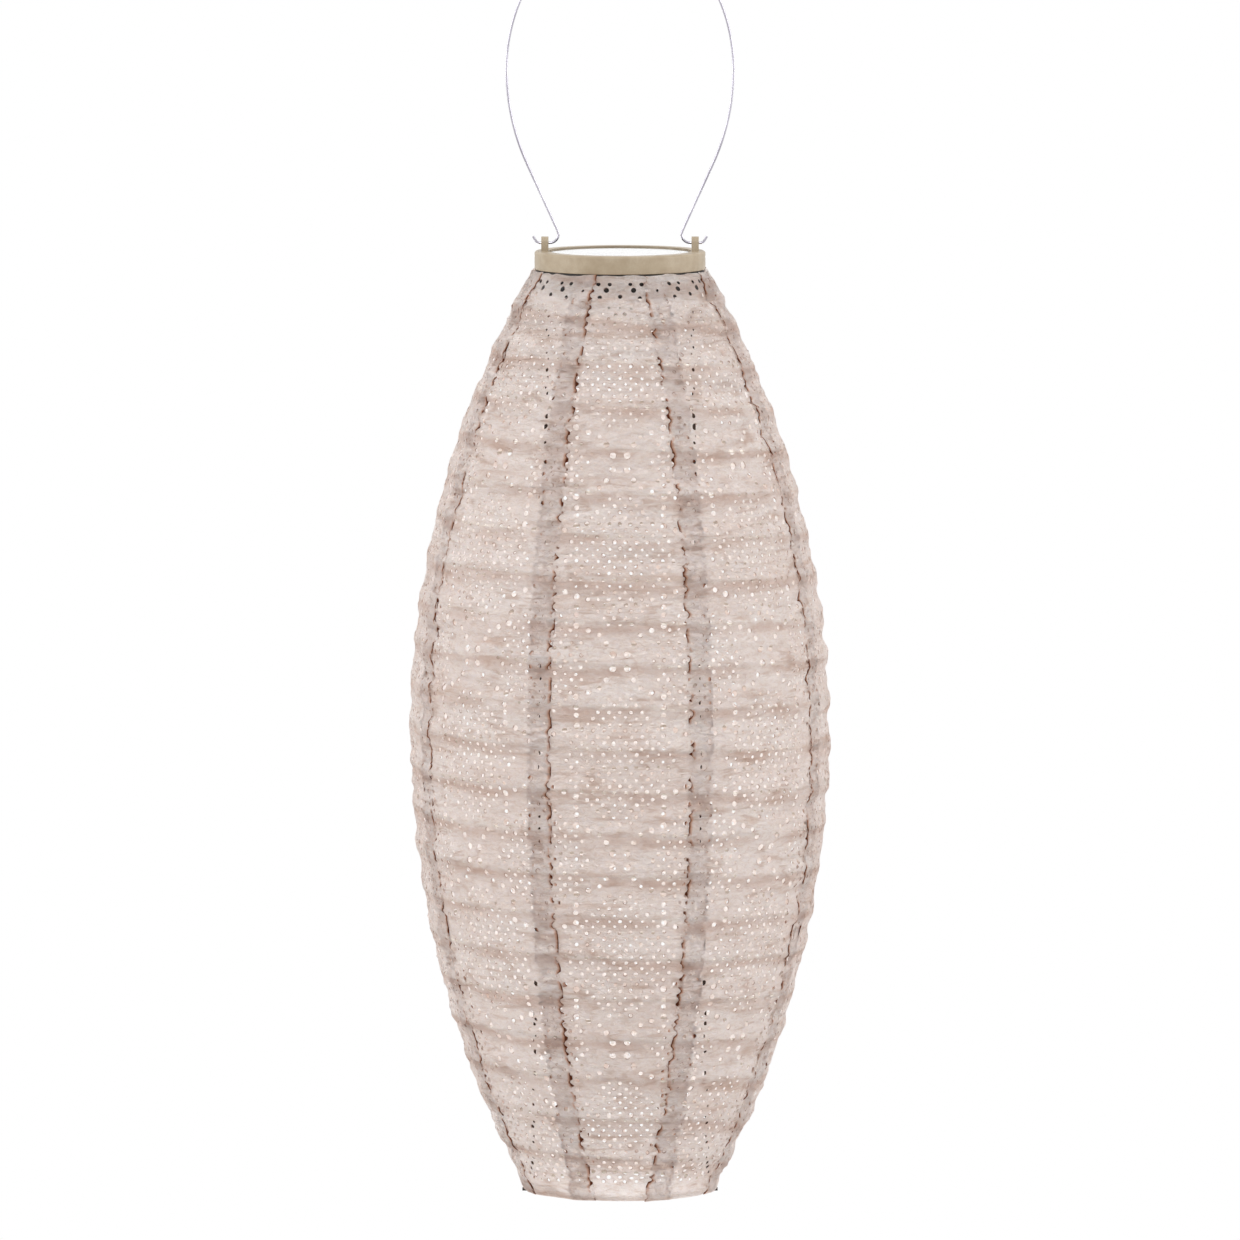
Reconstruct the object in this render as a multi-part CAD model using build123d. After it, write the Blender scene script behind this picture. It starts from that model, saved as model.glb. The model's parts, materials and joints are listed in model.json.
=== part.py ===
from build123d import *
import math
import os

# Accordion lantern with a perforated fabric shade on a spiral wire, a solar light in its cap and a
# wire bail. Millimetres. The origin is the hang point, at the underside of the bail's top, +Z up,
# +X through the right-hand lug.

# Bail
BAIL_WIRE_R = 0.6
BAIL_HEIGHT = 150.0  # hang point down to the lug holes
BAIL_HALF_WIDTH = 53.7  # centreline, at the widest place
BAIL_WIDEST_ABOVE_HOLE = 82.0
BAIL_LEG_ANGLE = 24.5  # degrees off vertical, where the straight legs run in to the hooks
HOOK_INNER_R = 4.0
HOOK_OUTER_R = 2.4
HOOK_OUTER_BEND = 60.0  # degrees
HOOK_TIP = 2.2  # straight end past the outer bend
PIN_INNER_X = 33.2  # the straight part that turns in the lug hole
PIN_OUTER_X = 38.0

# Cap ring
HOLE_Z = -BAIL_HEIGHT
RIM_Z = HOLE_Z - 3.8
CAP_R = 40.5
CAP_HEIGHT = 8.6
CAP_WALL_IN_R = 38.6
CAP_FLANGE = 2.6
CAP_CORNER = 1.1
LUG_X = 35.6
LUG_THICK = 3.4
LUG_WIDTH = 6.8
LUG_TOP_R = 3.0
LUG_HOLE_R = BAIL_WIRE_R + 0.05

# Window and solar panel, with heights below the rim
WINDOW_R = 33.6
WINDOW_TOP = 0.6
WINDOW_THICK = 1.1
REBATE_R = 33.8
REBATE_DEPTH = 2.0
OPENING_R = 31.4
PANEL_SIDE = 44.0
PANEL_TOP = 2.9
PANEL_THICK = 1.6
CELL_THICK = 0.2
CELL_COUNT = 8
CELL_GAP = 0.8

# Light module, with heights below the rim
MODULE_R = 38.3
MODULE_IN_R = 36.5
MODULE_TOP = 2.7
MODULE_DEPTH = 20.0
SHELF_TOP = PANEL_TOP + PANEL_THICK
SHELF_THICK = 1.5
SKIRT_R = 39.9
SKIRT_TOP = CAP_HEIGHT + 0.3
SKIRT_BOTTOM = 13.9
TAB_OUT_R = 41.3
TAB_HEIGHT = 1.2
TAB_WIDTH = 6.0
BASE_R = 36.4
BASE_THICK = 2.0
LEAD_HOLE_Y = -14.0
SCREW_PLACES = [(0.0, 29.0), (-24.0, -20.0), (24.0, -20.0)]
SCREW_SHANK_R = 1.0
SCREW_HEAD_R = 2.2
SCREW_HEAD_HEIGHT = 1.4
SCREW_LENGTH = 9.0
POST_R = 2.8

# Battery bay: one AAA cell lying along X
CELL_R = 5.25
CELL_LENGTH = 44.5
NUB_R = 2.7
NUB_LENGTH = 1.2
BAY_Y = 15.0
BAY_HALF_LENGTH = 25.0
BAY_LOW_Y = 9.2
BAY_HIGH_Y = 21.3
BAY_WALL = 1.2
BAY_WALL_TOP = 9.0
BATTERY_DEPTH = 12.2
CONTACT_THICK = 0.4
CONTACT_SIDE = 8.0
DOOR_HALF_LENGTH = 24.7
DOOR_FREE_Y = 9.5
DOOR_HINGE_Y = 20.0
DOOR_HINGE_DEPTH = 19.1
DOOR_THICK = 1.6
DOOR_PIN_R = 0.5
DOOR_PIN_HOLE_R = 0.55
DOOR_PIN_LENGTH = 1.1

# Electronics
BOARD_SIZE = (40.0, 18.0, 1.2)
BOARD_Y = -8.0
BOARD_BOTTOM = 13.8
LED_R = 2.5
LED_Y = -4.0
LED_TIP = 22.0
DIFFUSER_R = 8.0
DIFFUSER_WALL = 1.0
DIFFUSER_STRAIGHT = 3.0
LEAD_R = 0.45
LEAD_END_GAP = 0.4  # room for the solder at a lead's end
SWITCH_X = 12.0
SWITCH_Y = -14.0
SWITCH_TRAVEL = 4.0
KNOB_SIZE = (4.6, 2.6)
KNOB_GAP = 0.3

# Shade: two arcs that meet at the widest place
SHADE_TOP_BELOW_RIM = 9.6
SHADE_UPPER = 220.0
SHADE_LOWER = 218.0
SHADE_R = 100.0
SHADE_TOP_R = 42.8
SHADE_BOTTOM_R = 45.5
FABRIC_THICK = 0.3
GORE_COUNT = 8
GORE_GAP = 0.4  # degrees between the plain solids that stand for two neighbouring gores
RIB_WIRE_R = 0.6
RIB_GAP = 0.25
RIB_PITCH = 19.9
RIB_START_ANGLE = 5.0
RIB_END_CLEAR = 2.4
RIB_STEPS = 16  # curve points in each turn
RING_WIRE_R = 0.9
TOP_RING_R = 41.1
TOP_RING_BELOW_RIM = 11.5
BOTTOM_RING_R = 44.0

# Stretcher legs
LEG_WIRE_R = 0.8
LEG_TOP_X = 34.0
LEG_BOTTOM_X = 42.0
LEG_SOCKET_DEPTH = 6.5
LEG_BOSS_R = 2.0
LEG_BOSS_HEIGHT = 5.0
LEG_BEND_R = 1.8
FOOT_TIP_X = 46.6

# Places that follow from the sizes above
SHADE_TOP_Z = RIM_Z - SHADE_TOP_BELOW_RIM
SHADE_MID_Z = SHADE_TOP_Z - SHADE_UPPER
SHADE_BOTTOM_Z = SHADE_MID_Z - SHADE_LOWER
BOTTOM_RING_Z = SHADE_BOTTOM_Z + RING_WIRE_R
FOOT_Z = BOTTOM_RING_Z - RING_WIRE_R - 0.3 - LEG_WIRE_R


def below_rim(depth):
    """The height of a level that lies depth below the cap's rim."""
    return RIM_Z - depth


def disc(radius, top, bottom, x=0.0, y=0.0):
    """An upright cylinder between two depths below the rim."""
    height = bottom - top
    return Pos(x, y, below_rim(bottom) + height / 2) * Cylinder(radius, height)


def block(x_range, y_range, top, bottom):
    """A box between two depths below the rim."""
    centre = ((x_range[0] + x_range[1]) / 2, (y_range[0] + y_range[1]) / 2)
    height = bottom - top
    place = Pos(centre[0], centre[1], below_rim(bottom) + height / 2)
    return place * Box(x_range[1] - x_range[0], y_range[1] - y_range[0], height)


def rod_x(radius, x_from, x_to, y, z):
    """A cylinder that lies along X."""
    place = Pos((x_from + x_to) / 2, y, z) * Rot(0, 90, 0)
    return place * Cylinder(radius, abs(x_to - x_from))


def round_wire(path, radius, coiled=False):
    """A wire of round section bent along a path."""
    section = Plane(origin=path @ 0, z_dir=path % 0) * Circle(radius)
    return sweep(section, path=path, is_frenet=coiled)


def ring(radius, wire_radius, z):
    return Pos(0, 0, z) * Torus(radius, wire_radius)


def arc_radius(end_radius, height):
    """The radius of the arc that leaves the widest place upright and reaches end_radius."""
    inset = SHADE_R - end_radius
    return (height**2 + inset**2) / (2 * inset)


UPPER_ARC_R = arc_radius(SHADE_TOP_R, SHADE_UPPER)
LOWER_ARC_R = arc_radius(SHADE_BOTTOM_R, SHADE_LOWER)


def shade_radius(z, inset=0.0):
    """The shade's radius at height z, measured to a surface inset from the outside."""
    arc = UPPER_ARC_R if z > SHADE_MID_Z else LOWER_ARC_R
    return SHADE_R - arc + math.sqrt((arc - inset) ** 2 - (z - SHADE_MID_Z) ** 2)


def save(name, shape):
    solids = shape.solids()
    export_step(solids[0] if len(solids) == 1 else Compound(children=solids), f"parts/{name}.step")


def bail_side_path():
    """The right half of the bail from its hook's tip to the top, in X and Z."""
    slope = math.radians(BAIL_LEG_ANGLE)
    sin, cos = math.sin(slope), math.cos(slope)
    bend = math.radians(HOOK_OUTER_BEND)
    tip_low = outer_bend_point(bend)
    tip_top = (tip_low[0] + HOOK_TIP * math.cos(bend), tip_low[1] + HOOK_TIP * math.sin(bend))
    outer_mid = outer_bend_point(bend / 2)
    pin_out = (PIN_OUTER_X, HOLE_Z)
    pin_in = (PIN_INNER_X, HOLE_Z)
    inner_low = (PIN_INNER_X - HOOK_INNER_R, HOLE_Z + HOOK_INNER_R)
    leg_low = (
        PIN_INNER_X - HOOK_INNER_R * cos,
        HOLE_Z + HOOK_INNER_R * (1 + sin),
    )
    # The side arc is tangent to the straight leg and upright where the bail is widest.
    widest = (BAIL_HALF_WIDTH, HOLE_Z + BAIL_WIDEST_ABOVE_HOLE)
    run = widest[0] - leg_low[0] - (widest[1] - leg_low[1]) * sin / cos
    side_r = run / (1 - cos - sin * sin / cos)
    leg_high = (widest[0] - side_r * (1 - cos), widest[1] - side_r * sin)
    half = slope / 2
    side_mid = (widest[0] - side_r * (1 - math.cos(half)), widest[1] - side_r * math.sin(half))
    top_rise = BAIL_WIRE_R - widest[1]
    quarter = EllipticalCenterArc((0, widest[1]), BAIL_HALF_WIDTH, top_rise, arc_size=90)
    return [
        Line(tip_top, tip_low),
        ThreePointArc(tip_low, outer_mid, pin_out),
        Line(pin_out, pin_in),
        ThreePointArc(pin_in, hook_inner_mid(), inner_low),
        ThreePointArc(inner_low, hook_upper_mid(slope), leg_low),
        Line(leg_low, leg_high),
        ThreePointArc(leg_high, side_mid, widest),
        quarter,
    ]


def outer_bend_point(turned):
    """A point on the bend outside the lug, where the wire has turned up by an angle."""
    return (
        PIN_OUTER_X + HOOK_OUTER_R * math.sin(turned),
        HOLE_Z + HOOK_OUTER_R * (1 - math.cos(turned)),
    )


def hook_point(angle):
    """A point on the hook's inner bend, at an angle from +X about the bend's centre."""
    return (
        PIN_INNER_X + HOOK_INNER_R * math.cos(angle),
        HOLE_Z + HOOK_INNER_R * (1 + math.sin(angle)),
    )


def hook_inner_mid():
    return hook_point(math.radians(225))


def hook_upper_mid(slope):
    return hook_point(math.pi - slope / 2)


def bail_handle():
    right = [Plane.XZ * edge for edge in bail_side_path()]
    left = [mirror(edge, about=Plane.YZ) for edge in reversed(right)]
    path = Wire([edge.edge() for edge in right + left])
    return round_wire(path, BAIL_WIRE_R)


def lug(side):
    """A flat ear on the rim with the hole that the bail's hook turns in."""
    foot = below_rim(0.5)
    outline = Polyline(
        (-LUG_WIDTH / 2, foot),
        (-LUG_WIDTH / 2, RIM_Z),
        (-LUG_TOP_R, HOLE_Z),
    )
    top = ThreePointArc((-LUG_TOP_R, HOLE_Z), (0, HOLE_Z + LUG_TOP_R), (LUG_TOP_R, HOLE_Z))
    back = Polyline(
        (LUG_TOP_R, HOLE_Z),
        (LUG_WIDTH / 2, RIM_Z),
        (LUG_WIDTH / 2, foot),
        (-LUG_WIDTH / 2, foot),
    )
    face = make_face([*outline.edges(), top.edge(), *back.edges()])
    plate = extrude(Plane.YZ * face, amount=LUG_THICK / 2, both=True)
    return Pos(side * LUG_X, 0, 0) * plate


def cap_ring():
    """The plastic band with its inner flange, the rebate for the window and the two lugs."""
    with BuildPart() as part:
        with BuildSketch(Plane.XZ):
            with BuildLine():
                Polyline(
                    (OPENING_R, below_rim(REBATE_DEPTH)),
                    (REBATE_R, below_rim(REBATE_DEPTH)),
                    (REBATE_R, RIM_Z),
                    (CAP_R, RIM_Z),
                    (CAP_R, below_rim(CAP_HEIGHT)),
                    (CAP_WALL_IN_R, below_rim(CAP_HEIGHT)),
                    (CAP_WALL_IN_R, below_rim(CAP_FLANGE)),
                    (OPENING_R, below_rim(CAP_FLANGE)),
                    close=True,
                )
            make_face()
        revolve(axis=Axis.Z)
        rim = part.edges().filter_by(GeomType.CIRCLE).filter_by(lambda e: e.radius > CAP_R - 0.01)
        fillet(rim.sort_by(Axis.Z)[-1], CAP_CORNER)
        fillet(rim.sort_by(Axis.Z)[0], CAP_CORNER / 3)
    body = part.part + lug(1) + lug(-1)
    hole = rod_x(LUG_HOLE_R, -CAP_R, CAP_R, 0, HOLE_Z)
    return body - hole


def solar_window():
    pane = disc(WINDOW_R, WINDOW_TOP, WINDOW_TOP + WINDOW_THICK)
    return chamfer(pane.edges().sort_by(Axis.Z)[-1], 0.3)


def window_seal():
    top = WINDOW_TOP + WINDOW_THICK
    return disc(WINDOW_R, top, REBATE_DEPTH) - disc(OPENING_R + 0.2, top, REBATE_DEPTH)


def solar_panel():
    half = PANEL_SIDE / 2
    return block((-half, half), (-half, half), PANEL_TOP, PANEL_TOP + PANEL_THICK)


def solar_cells():
    """Strips of silicon side by side on the panel."""
    half = PANEL_SIDE / 2 - 1.5
    pitch = 2 * half / CELL_COUNT
    strips = []
    for k in range(CELL_COUNT):
        low = -half + k * pitch + CELL_GAP / 2
        high = low + pitch - CELL_GAP
        strips.append(block((low, high), (-half, half), PANEL_TOP - CELL_THICK, PANEL_TOP))
    return Compound(children=[s.solid() for s in strips])


def module_housing():
    """The dark cup under the cap: a shelf for the panel, a skirt with tabs, and screw posts."""
    with BuildPart() as part:
        with BuildSketch(Plane.XZ):
            with BuildLine():
                Polyline(
                    (0, below_rim(SHELF_TOP)),
                    (MODULE_IN_R, below_rim(SHELF_TOP)),
                    (MODULE_IN_R, below_rim(MODULE_TOP)),
                    (MODULE_R, below_rim(MODULE_TOP)),
                    (MODULE_R, below_rim(SKIRT_TOP)),
                    (SKIRT_R, below_rim(SKIRT_TOP)),
                    (SKIRT_R, below_rim(SKIRT_BOTTOM)),
                    (MODULE_R, below_rim(SKIRT_BOTTOM)),
                    (MODULE_R, below_rim(MODULE_DEPTH)),
                    (MODULE_IN_R, below_rim(MODULE_DEPTH)),
                    (MODULE_IN_R, below_rim(SHELF_TOP + SHELF_THICK)),
                    (0, below_rim(SHELF_TOP + SHELF_THICK)),
                    close=True,
                )
            make_face()
        revolve(axis=Axis.Z)
    body = part.part
    tab_top = SKIRT_BOTTOM - TAB_HEIGHT
    tab = block((SKIRT_R - 0.6, TAB_OUT_R), (-TAB_WIDTH / 2, TAB_WIDTH / 2), tab_top, SKIRT_BOTTOM)
    for angle in (45, 135, 225, 315):
        body += Rot(0, 0, angle) * tab
    post_top = SHELF_TOP + SHELF_THICK
    post_end = MODULE_DEPTH - BASE_THICK
    for x, y in SCREW_PLACES:
        body += disc(POST_R, post_top - 0.1, post_end, x, y)
    for x, y in SCREW_PLACES:
        body -= disc(SCREW_SHANK_R, post_end - SCREW_LENGTH, post_end, x, y)
    return body - disc(3.0, SHELF_TOP, post_top, 0, LEAD_HOLE_Y)


def module_base():
    """The plate that closes the module: battery bay, switch slot, lamp hole and leg sockets."""
    top = MODULE_DEPTH - BASE_THICK
    body = disc(BASE_R, top, MODULE_DEPTH)
    outer = BAY_HALF_LENGTH + BAY_WALL
    body += block((-outer, outer), (BAY_LOW_Y - BAY_WALL, BAY_HIGH_Y + BAY_WALL), BAY_WALL_TOP, top)
    for side in (-1, 1):
        body += disc(LEG_BOSS_R, top - LEG_BOSS_HEIGHT, top, side * LEG_TOP_X)
    bay = (-BAY_HALF_LENGTH, BAY_HALF_LENGTH)
    body -= block(bay, (BAY_LOW_Y, BAY_HIGH_Y), BAY_WALL_TOP, MODULE_DEPTH)
    hinge_z = below_rim(DOOR_HINGE_DEPTH)
    for side in (-1, 1):
        pocket_end = side * (DOOR_HALF_LENGTH + DOOR_PIN_LENGTH + 0.2)
        body -= rod_x(DOOR_PIN_HOLE_R, side * DOOR_HALF_LENGTH, pocket_end, DOOR_HINGE_Y, hinge_z)
        socket_top = MODULE_DEPTH - LEG_SOCKET_DEPTH
        body -= disc(LEG_WIRE_R, socket_top, MODULE_DEPTH, side * LEG_TOP_X)
    body -= disc(LED_R + 0.3, top, MODULE_DEPTH, 0, LED_Y)
    slot_x = (
        SWITCH_X - KNOB_SIZE[0] / 2 - KNOB_GAP,
        SWITCH_X + SWITCH_TRAVEL + KNOB_SIZE[0] / 2 + KNOB_GAP,
    )
    half = KNOB_SIZE[1] / 2 + KNOB_GAP
    body -= block(slot_x, (SWITCH_Y - half, SWITCH_Y + half), top, MODULE_DEPTH)
    for x, y in SCREW_PLACES:
        body -= disc(SCREW_SHANK_R + 0.2, top, MODULE_DEPTH, x, y)
    return body


def module_screws():
    """The round-headed screws that hold the base on the posts, with a cross slot each."""
    end = MODULE_DEPTH + SCREW_HEAD_HEIGHT
    screws = []
    for x, y in SCREW_PLACES:
        head = disc(SCREW_HEAD_R, MODULE_DEPTH, end, x, y)
        head = fillet(head.edges().sort_by(Axis.Z)[0], 0.8)
        shank_top = MODULE_DEPTH - BASE_THICK - SCREW_LENGTH + 1.0
        screw = head + disc(SCREW_SHANK_R, shank_top, MODULE_DEPTH, x, y)
        screw -= block((x - 1.3, x + 1.3), (y - 0.25, y + 0.25), end - 0.6, end)
        screw -= block((x - 0.25, x + 0.25), (y - 1.3, y + 1.3), end - 0.6, end)
        screws.append(screw.solid())
    return Compound(children=screws)


def circuit_board():
    half_x, half_y = BOARD_SIZE[0] / 2, BOARD_SIZE[1] / 2
    top = BOARD_BOTTOM - BOARD_SIZE[2]
    return block((-half_x, half_x), (BOARD_Y - half_y, BOARD_Y + half_y), top, BOARD_BOTTOM)


def board_components():
    """Driver chip, coil and capacitor on top of the board."""
    seat = BOARD_BOTTOM - BOARD_SIZE[2]
    chip = block((-12, -6), (BOARD_Y - 2, BOARD_Y + 2), seat - 1.5, seat)
    coil = disc(2.6, seat - 4.0, seat, 8, BOARD_Y)
    capacitor = disc(2.0, seat - 5.0, seat, 15, BOARD_Y + 3)
    return Compound(children=[chip.solid(), coil.solid(), capacitor.solid()])


def led_lamp():
    straight = disc(LED_R, BOARD_BOTTOM, LED_TIP - LED_R, 0, LED_Y)
    return straight + Pos(0, LED_Y, below_rim(LED_TIP - LED_R)) * Sphere(LED_R)


def led_diffuser():
    """A frosted thimble over the lamp."""
    shell = thimble(DIFFUSER_R, DIFFUSER_STRAIGHT, 0.0)
    return shell - thimble(DIFFUSER_R - DIFFUSER_WALL, DIFFUSER_STRAIGHT, 0.1)


def thimble(radius, straight, lift):
    """A short upright wall that ends in a dome below, starting lift above the base."""
    wall_end = MODULE_DEPTH + straight
    dome = Pos(0, LED_Y, below_rim(wall_end)) * Sphere(radius)
    cut = block((-radius, radius), (LED_Y - radius, LED_Y + radius), wall_end - 2 * radius, wall_end)
    return disc(radius, MODULE_DEPTH - lift, wall_end, 0, LED_Y) + (dome - cut)


def battery_cell():
    z = below_rim(BATTERY_DEPTH)
    nub_end = BAY_HALF_LENGTH - CONTACT_THICK
    body_end = nub_end - NUB_LENGTH
    body = rod_x(CELL_R, nub_end - CELL_LENGTH, body_end, BAY_Y, z)
    body = fillet(body.edges().filter_by(GeomType.CIRCLE), 0.5)
    return body + rod_x(NUB_R, body_end, nub_end, BAY_Y, z)


def contact_plate(side):
    """A thin nickel plate on the bay's end wall."""
    outer = side * BAY_HALF_LENGTH
    x_range = sorted((outer, outer - side * CONTACT_THICK))
    half = CONTACT_SIDE / 2
    low = BATTERY_DEPTH + half
    return block(x_range, (BAY_Y - half, BAY_Y + half), low - CONTACT_SIDE, low)


def spring_contact():
    """The minus contact: a plate with a wire coil that presses on the cell."""
    wire_r = 0.3
    gap_start = -BAY_HALF_LENGTH + CONTACT_THICK
    cell_end = BAY_HALF_LENGTH - CONTACT_THICK - CELL_LENGTH
    length = cell_end - gap_start - 2 * wire_r
    coil = Helix(pitch=length / 3, height=length, radius=3.0)
    place = Pos(gap_start + wire_r, BAY_Y, below_rim(BATTERY_DEPTH)) * Rot(0, 90, 0)
    wound = round_wire(place * coil, wire_r)
    return Compound(children=[contact_plate(-1).solid(), wound.solid()])


def plate_contact():
    return contact_plate(1)


def battery_door():
    """The bay's door with a rounded hinge edge, two pins and a finger ridge."""
    hinge_z = below_rim(DOOR_HINGE_DEPTH)
    top = DOOR_HINGE_DEPTH - DOOR_THICK / 2
    length = (-DOOR_HALF_LENGTH, DOOR_HALF_LENGTH)
    door = block(length, (DOOR_FREE_Y, DOOR_HINGE_Y), top, top + DOOR_THICK)
    door += rod_x(DOOR_THICK / 2, -DOOR_HALF_LENGTH, DOOR_HALF_LENGTH, DOOR_HINGE_Y, hinge_z)
    reach = DOOR_HALF_LENGTH + DOOR_PIN_LENGTH
    door += rod_x(DOOR_PIN_R, -reach, reach, DOOR_HINGE_Y, hinge_z)
    ridge_y = (DOOR_FREE_Y + 0.8, DOOR_FREE_Y + 2.0)
    door += block((-5, 5), ridge_y, top + DOOR_THICK - 0.1, top + DOOR_THICK + 0.7)
    return door


def switch_case():
    """The slide switch's metal can, open below for the knob."""
    half_x = KNOB_SIZE[0] / 2 + KNOB_GAP
    half_y = KNOB_SIZE[1] / 2 + KNOB_GAP
    pocket = (SWITCH_X - half_x, SWITCH_X + SWITCH_TRAVEL + half_x)
    bottom = MODULE_DEPTH - BASE_THICK
    wall = 0.8
    can = block(
        (pocket[0] - wall, pocket[1] + wall),
        (SWITCH_Y - half_y - wall, SWITCH_Y + half_y + wall),
        BOARD_BOTTOM,
        bottom,
    )
    return can - block(pocket, (SWITCH_Y - half_y, SWITCH_Y + half_y), bottom - 2.5, bottom)


def switch_slider():
    half_x, half_y = KNOB_SIZE[0] / 2, KNOB_SIZE[1] / 2
    top = MODULE_DEPTH - BASE_THICK - 2.2
    end = MODULE_DEPTH + 1.4
    knob = block(
        (SWITCH_X - half_x, SWITCH_X + half_x), (SWITCH_Y - half_y, SWITCH_Y + half_y), top, end
    )
    for step in (-1.2, 0.0, 1.2):
        groove_x = (SWITCH_X + step - 0.2, SWITCH_X + step + 0.2)
        knob -= block(groove_x, (SWITCH_Y - half_y, SWITCH_Y + half_y), end - 0.4, end)
    return knob


def panel_leads():
    """Two insulated leads from the panel through the shelf to the board."""
    seat = BOARD_BOTTOM - BOARD_SIZE[2]
    leads = []
    for side in (-1, 1):
        path = Spline(
            (side * 1.4, LEAD_HOLE_Y, below_rim(SHELF_TOP + LEAD_END_GAP)),
            (side * 1.2, LEAD_HOLE_Y, below_rim(SHELF_TOP + 3)),
            (side * 3.0, LEAD_HOLE_Y + 2, below_rim(seat - LEAD_END_GAP)),
        )
        leads.append(round_wire(path, LEAD_R).solid())
    return Compound(children=leads)


def battery_leads():
    """A lead from each battery contact over the bay wall to the board."""
    seat = BOARD_BOTTOM - BOARD_SIZE[2]
    leads = []
    for side in (-1, 1):
        start_x = side * (BAY_HALF_LENGTH - CONTACT_THICK - 0.55)
        path = Spline(
            (start_x, BAY_Y - 3.4, below_rim(BATTERY_DEPTH - CONTACT_SIDE / 2 + 0.6)),
            (side * 23.0, BAY_LOW_Y - 0.6, below_rim(BAY_WALL_TOP - 1.2)),
            (side * 18.0, BOARD_Y + 5, below_rim(seat - LEAD_END_GAP)),
        )
        leads.append(round_wire(path, LEAD_R).solid())
    return Compound(children=leads)


def shade_top_ring():
    return ring(TOP_RING_R, RING_WIRE_R, below_rim(TOP_RING_BELOW_RIM))


def shade_bottom_ring():
    return ring(BOTTOM_RING_R, RING_WIRE_R, BOTTOM_RING_Z)


def spiral_rib():
    """One wire wound down the inside of the shade, from the top ring to the bottom ring."""
    start_z = below_rim(TOP_RING_BELOW_RIM) - RIB_END_CLEAR
    end_z = BOTTOM_RING_Z + RIB_END_CLEAR
    turns = (start_z - end_z) / RIB_PITCH
    count = round(turns * RIB_STEPS)
    points = []
    for k in range(count + 1):
        z = start_z + (end_z - start_z) * k / count
        angle = math.radians(RIB_START_ANGLE) + 2 * math.pi * turns * k / count
        radius = shade_radius(z, FABRIC_THICK + RIB_GAP + RIB_WIRE_R)
        points.append((radius * math.cos(angle), radius * math.sin(angle), z))
    return round_wire(Spline(*points), RIB_WIRE_R, coiled=True)


def stretcher_leg(side):
    """A stiff wire that holds the shade open, from its socket to a foot under the bottom ring."""
    top_z = below_rim(MODULE_DEPTH - LEG_SOCKET_DEPTH + 0.4)
    knee_z = below_rim(MODULE_DEPTH + 3)
    points = [
        (side * LEG_TOP_X, 0, top_z),
        (side * LEG_TOP_X, 0, knee_z),
        (side * LEG_BOTTOM_X, 0, FOOT_Z),
        (side * FOOT_TIP_X, 0, FOOT_Z),
    ]
    path = FilletPolyline(*points, radius=LEG_BEND_R)
    return round_wire(path, LEG_WIRE_R)


def fabric_gore(index):
    """A plain strip of the shade, from the top edge to the bottom edge."""

    def arc_point(z, inset):
        return (shade_radius(z, inset), z)

    def side(inset):
        upper_mid = SHADE_MID_Z + SHADE_UPPER / 2
        lower_mid = SHADE_MID_Z - SHADE_LOWER / 2
        top = arc_point(SHADE_TOP_Z, inset)
        middle = arc_point(SHADE_MID_Z, inset)
        bottom = arc_point(SHADE_BOTTOM_Z, inset)
        upper = ThreePointArc(top, arc_point(upper_mid, inset), middle)
        lower = ThreePointArc(middle, arc_point(lower_mid, inset), bottom)
        return [upper, lower], top, bottom

    outer, outer_top, outer_bottom = side(0.0)
    inner, inner_top, inner_bottom = side(FABRIC_THICK)
    closing = [Line(outer_top, inner_top), Line(outer_bottom, inner_bottom)]
    face = Plane.XZ * make_face([e.edge() for e in outer + inner + closing])
    width = 360 / GORE_COUNT - GORE_GAP
    strip = revolve(face, axis=Axis.Z, revolution_arc=width)
    front = -90
    return Rot(0, 0, front + index * 360 / GORE_COUNT - width / 2) * strip


save("bail_handle", bail_handle())
save("cap_ring", cap_ring())
save("solar_window", solar_window())
save("window_seal", window_seal())
save("solar_panel", solar_panel())
save("solar_cells", solar_cells())
save("module_housing", module_housing())
save("module_base", module_base())
save("module_screws", module_screws())
save("circuit_board", circuit_board())
save("board_components", board_components())
save("led_lamp", led_lamp())
save("led_diffuser", led_diffuser())
save("battery_cell", battery_cell())
save("spring_contact", spring_contact())
save("plate_contact", plate_contact())
save("battery_door", battery_door())
save("switch_case", switch_case())
save("switch_slider", switch_slider())
save("panel_leads", panel_leads())
save("battery_leads", battery_leads())
save("shade_top_ring", shade_top_ring())
save("shade_bottom_ring", shade_bottom_ring())
save("spiral_rib", spiral_rib())
save("stretcher_leg_left", stretcher_leg(-1))
save("stretcher_leg_right", stretcher_leg(1))
for gore in range(GORE_COUNT):
    save(f"fabric_gore_{gore + 1}", fabric_gore(gore))
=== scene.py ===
"""Looks of the hanging accordion lantern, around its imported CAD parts.

The perforated fabric gores and the spiral wire are built here, and every CAD node gets its finish.
"""

import json
import math

import bpy
import numpy as np
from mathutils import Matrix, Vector
from mathutils.geometry import delaunay_2d_cdt


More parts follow.
